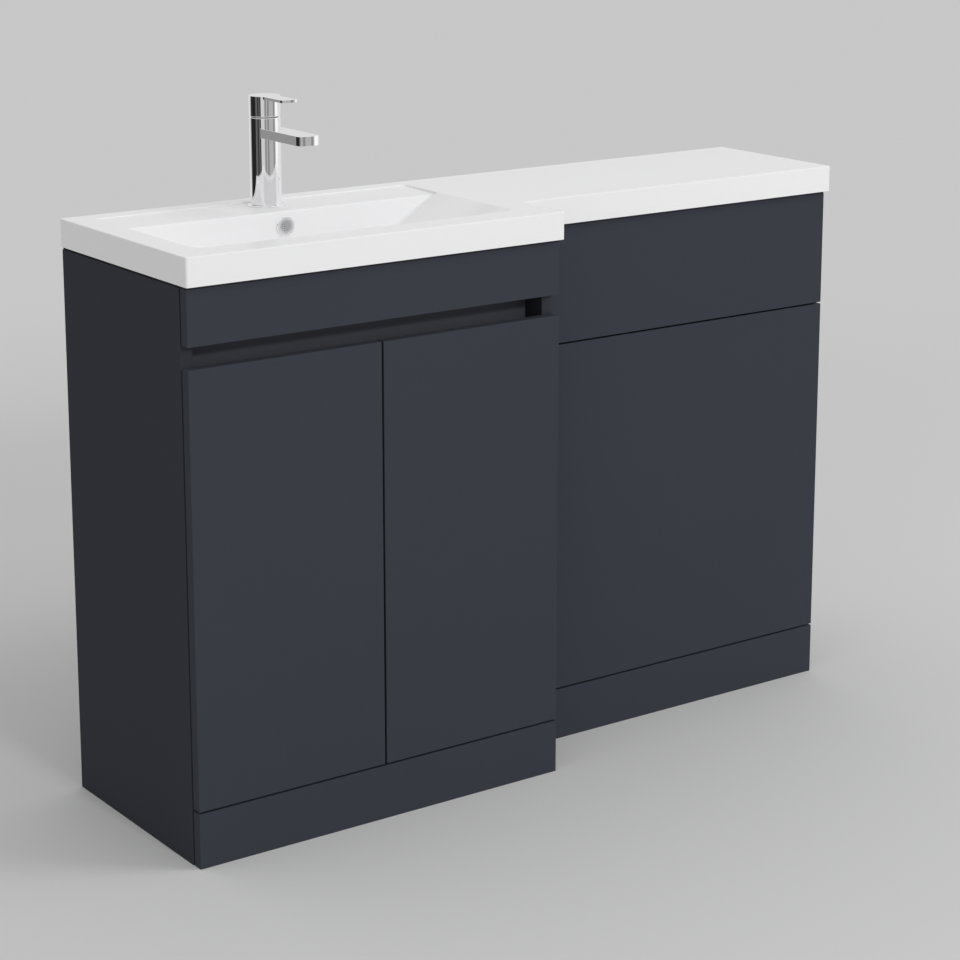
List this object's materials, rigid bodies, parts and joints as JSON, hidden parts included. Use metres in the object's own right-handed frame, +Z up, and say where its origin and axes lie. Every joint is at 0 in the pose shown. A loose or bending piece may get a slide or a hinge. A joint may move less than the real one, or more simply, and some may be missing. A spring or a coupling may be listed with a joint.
{
  "type": "combination vanity unit",
  "caption": "Anthracite basin cabinet and shallower back-to-wall cabinet under one white L-shaped basin top with a chrome lever tap.",
  "frame": {"origin": "centre of the bounding box, on the floor", "axes": "+X to the right along the wall, +Y towards the wall, +Z up; the doors face -Y"},
  "size_m": [1.205, 0.36, 0.996],
  "materials": {
    "carcass": "matt anthracite faced board",
    "front": "matt anthracite lacquered board",
    "channel": "satin anthracite lacquered board",
    "basin": "gloss white gel coat on cast mineral",
    "dowel": "beech",
    "steel": "zinc and nickel plated",
    "chrome": "polished",
    "satin_chrome": "satin",
    "brass": "turned",
    "rubber": "black",
    "black_plastic": "moulded",
    "clear_plastic": "soft clear",
    "pale_plastic": "moulded"
  },
  "bodies": {
    "cabinet": {"vanity_side_left": "carcass", "vanity_side_right": "carcass", "vanity_bottom": "carcass", "vanity_back": "carcass", "vanity_rear_rail": "carcass", "finger_rail": "channel", "shelf": "carcass", "wc_side_left": "carcass", "wc_side_right": "carcass", "wc_rear_rail": "carcass", "wc_middle_rail": "carcass", "wc_bottom_rail": "carcass", "fascia": "front", "vanity_plinth": "front", "wc_access_panel": "front", "wc_lower_panel": "front", "wc_plinth": "front", "basin_top": "basin", "vanity_dowels": "dowel", "front_dowels": "dowel", "wc_dowels": "dowel", "shelf_pins": "steel", "hinge_arms": "steel", "hinge_plates": "steel", "plate_screws": "steel", "unit_bolts": "steel", "tap_stud": "steel", "tap_clamp_plate": "steel", "overflow_ring": "chrome", "waste_body": "chrome", "tap_base_ring": "chrome", "tap_body": "chrome", "overflow_grille": "satin_chrome", "waste_nut": "brass", "cartridge_nut": "brass", "tap_nut": "brass", "top_seals": "rubber", "waste_seal": "rubber", "waste_gasket": "rubber", "tap_washer": "rubber", "tap_cartridge": "black_plastic", "panel_clips": "black_plastic", "tap_aerator": "pale_plastic"},
    "left_door": {"door_left": "front", "hinge_cups_left": "steel", "hinge_pins_left": "steel", "cup_screws_left": "steel", "door_buffers_left": "clear_plastic"},
    "right_door": {"door_right": "front", "hinge_cups_right": "steel", "hinge_pins_right": "steel", "cup_screws_right": "steel", "door_buffers_right": "clear_plastic"},
    "plug": {"waste_plug": "chrome"},
    "tap_carrier": {"swivel_ring": "brass", "lever_pin": "steel"},
    "tap_lever": {"tap_handle": "chrome", "cartridge_stem": "steel"}
  },
  "joints": [
    {"name": "left_door_hinge", "type": "hinge", "parent": "cabinet", "child": "left_door", "pos_m": [-0.5935, -0.1645, 0.38575], "axis": [0, 0, -1], "range_deg": [0, 100]},
    {"name": "right_door_hinge", "type": "hinge", "parent": "cabinet", "child": "right_door", "pos_m": [-0.0065, -0.1645, 0.38575], "axis": [0, 0, 1], "range_deg": [0, 100]},
    {"name": "plug_lift", "type": "slide", "parent": "cabinet", "child": "plug", "axis": [0, 0, 1], "range_m": [0, 0.008]},
    {"name": "tap_swivel", "type": "hinge", "parent": "cabinet", "child": "tap_carrier", "pos_m": [-0.3055, 0.122, 0.9685], "axis": [0, 0, 1], "range_deg": [-50, 50]},
    {"name": "tap_lift", "type": "hinge", "parent": "tap_carrier", "child": "tap_lever", "pos_m": [-0.3055, 0.1379, 0.969], "axis": [-1, 0, 0], "range_deg": [0, 22]}
  ]
}
